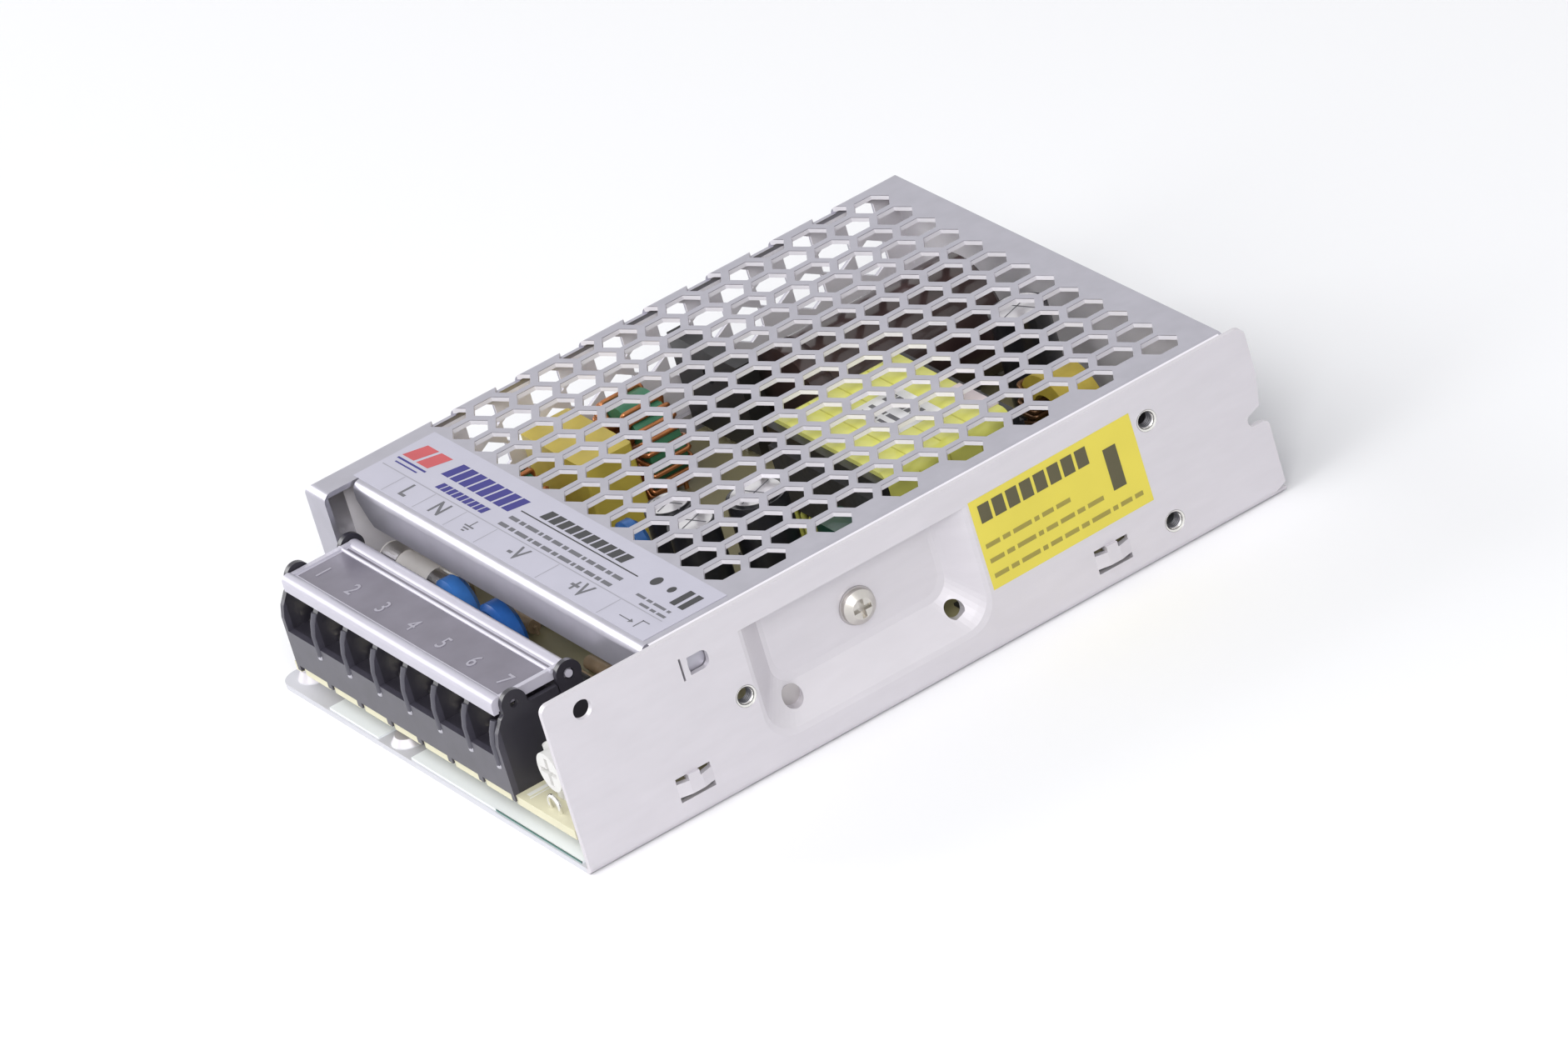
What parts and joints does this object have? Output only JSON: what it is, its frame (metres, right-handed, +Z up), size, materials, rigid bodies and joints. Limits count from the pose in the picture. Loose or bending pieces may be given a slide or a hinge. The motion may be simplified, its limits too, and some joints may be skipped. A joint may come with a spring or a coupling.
{
  "type": "mesh case switching power supply",
  "caption": "Flat switching power supply in an aluminium and hexagon-mesh case, with a screw terminal block under a clear hinged lid.",
  "frame": {"origin": "middle of the bounding box's underside, on the case's flat base", "axes": "+X towards the case's one plain side wall, +Y from the terminals to the rear, +Z up out of the mesh cover"},
  "size_m": [0.0986, 0.129, 0.0295],
  "materials": {
    "chassis": "brushed",
    "mesh_cover": "galvanised, fine grain",
    "cover_screws": "bright plated",
    "insulation_film": "clear film",
    "circuit_board": "bare laminate",
    "board_screws": "bright plated",
    "terminal_block": "moulded",
    "terminal_contacts": "tinned",
    "terminal_washers": "plated",
    "terminal_screws": "bright plated",
    "terminal_lid": "clear",
    "trimmer_body": "moulded",
    "trimmer_rotor": "moulded",
    "status_led": "translucent",
    "fuse_clips": "tinned",
    "fuse": "ceramic tube with metal caps",
    "varistor": "dipped coating",
    "thermistor": "dipped coating",
    "y_capacitors": "dipped coating",
    "film_capacitor": "moulded box",
    "input_choke_core": "coated ferrite",
    "input_choke_winding": "enamelled copper",
    "line_choke_core": "coated ferrite",
    "line_choke_windings": "enamelled copper",
    "bridge_rectifier": "moulded",
    "bulk_capacitor": "sleeved can",
    "transformer_core": "ferrite",
    "transformer_bobbin": "moulded",
    "transformer_wrap": "polyester tape",
    "snubber_capacitor": "dipped coating",
    "output_capacitors": "sleeved cans",
    "output_choke_core": "coated powder core",
    "output_choke_winding": "enamelled copper",
    "power_transistor": "moulded",
    "output_rectifier": "moulded",
    "insulating_pads": "silicone pad",
    "clamp_bar": "plated",
    "clamp_screw": "bright plated",
    "clamp_nut": "bright plated",
    "controller_chip": "moulded",
    "optocoupler": "moulded",
    "resistors": "lacquered",
    "jumper_wires": "tinned wire",
    "rating_label": "satin film",
    "side_label": "satin film"
  },
  "bodies": {
    "case": {"chassis": "chassis", "mesh_cover": "mesh_cover", "cover_screws": "cover_screws", "insulation_film": "insulation_film", "circuit_board": "circuit_board", "board_screws": "board_screws", "terminal_block": "terminal_block", "terminal_contacts": "terminal_contacts", "terminal_washers": "terminal_washers", "terminal_screws": "terminal_screws", "trimmer_body": "trimmer_body", "status_led": "status_led", "fuse_clips": "fuse_clips", "fuse": "fuse", "varistor": "varistor", "thermistor": "thermistor", "y_capacitors": "y_capacitors", "film_capacitor": "film_capacitor", "input_choke_core": "input_choke_core", "input_choke_winding": "input_choke_winding", "line_choke_core": "line_choke_core", "line_choke_windings": "line_choke_windings", "bridge_rectifier": "bridge_rectifier", "bulk_capacitor": "bulk_capacitor", "transformer_core": "transformer_core", "transformer_bobbin": "transformer_bobbin", "transformer_wrap": "transformer_wrap", "snubber_capacitor": "snubber_capacitor", "output_capacitors": "output_capacitors", "output_choke_core": "output_choke_core", "output_choke_winding": "output_choke_winding", "power_transistor": "power_transistor", "output_rectifier": "output_rectifier", "insulating_pads": "insulating_pads", "clamp_bar": "clamp_bar", "clamp_screw": "clamp_screw", "clamp_nut": "clamp_nut", "controller_chip": "controller_chip", "optocoupler": "optocoupler", "resistors": "resistors", "jumper_wires": "jumper_wires", "rating_label": "rating_label", "side_label": "side_label"},
    "lid": {"terminal_lid": "terminal_lid"},
    "rotor": {"trimmer_rotor": "trimmer_rotor"}
  },
  "joints": [
    {"name": "lid_hinge", "type": "hinge", "parent": "case", "child": "lid", "pos_m": [-0.00635, -0.0496, 0.0207], "axis": [-1, 0, 0], "range_deg": [0, 100]},
    {"name": "rotor_turn", "type": "hinge", "parent": "case", "child": "rotor", "pos_m": [0.0381, -0.0599, 0.0132], "axis": [0, -1, 0], "range_deg": [-105, 105]}
  ]
}
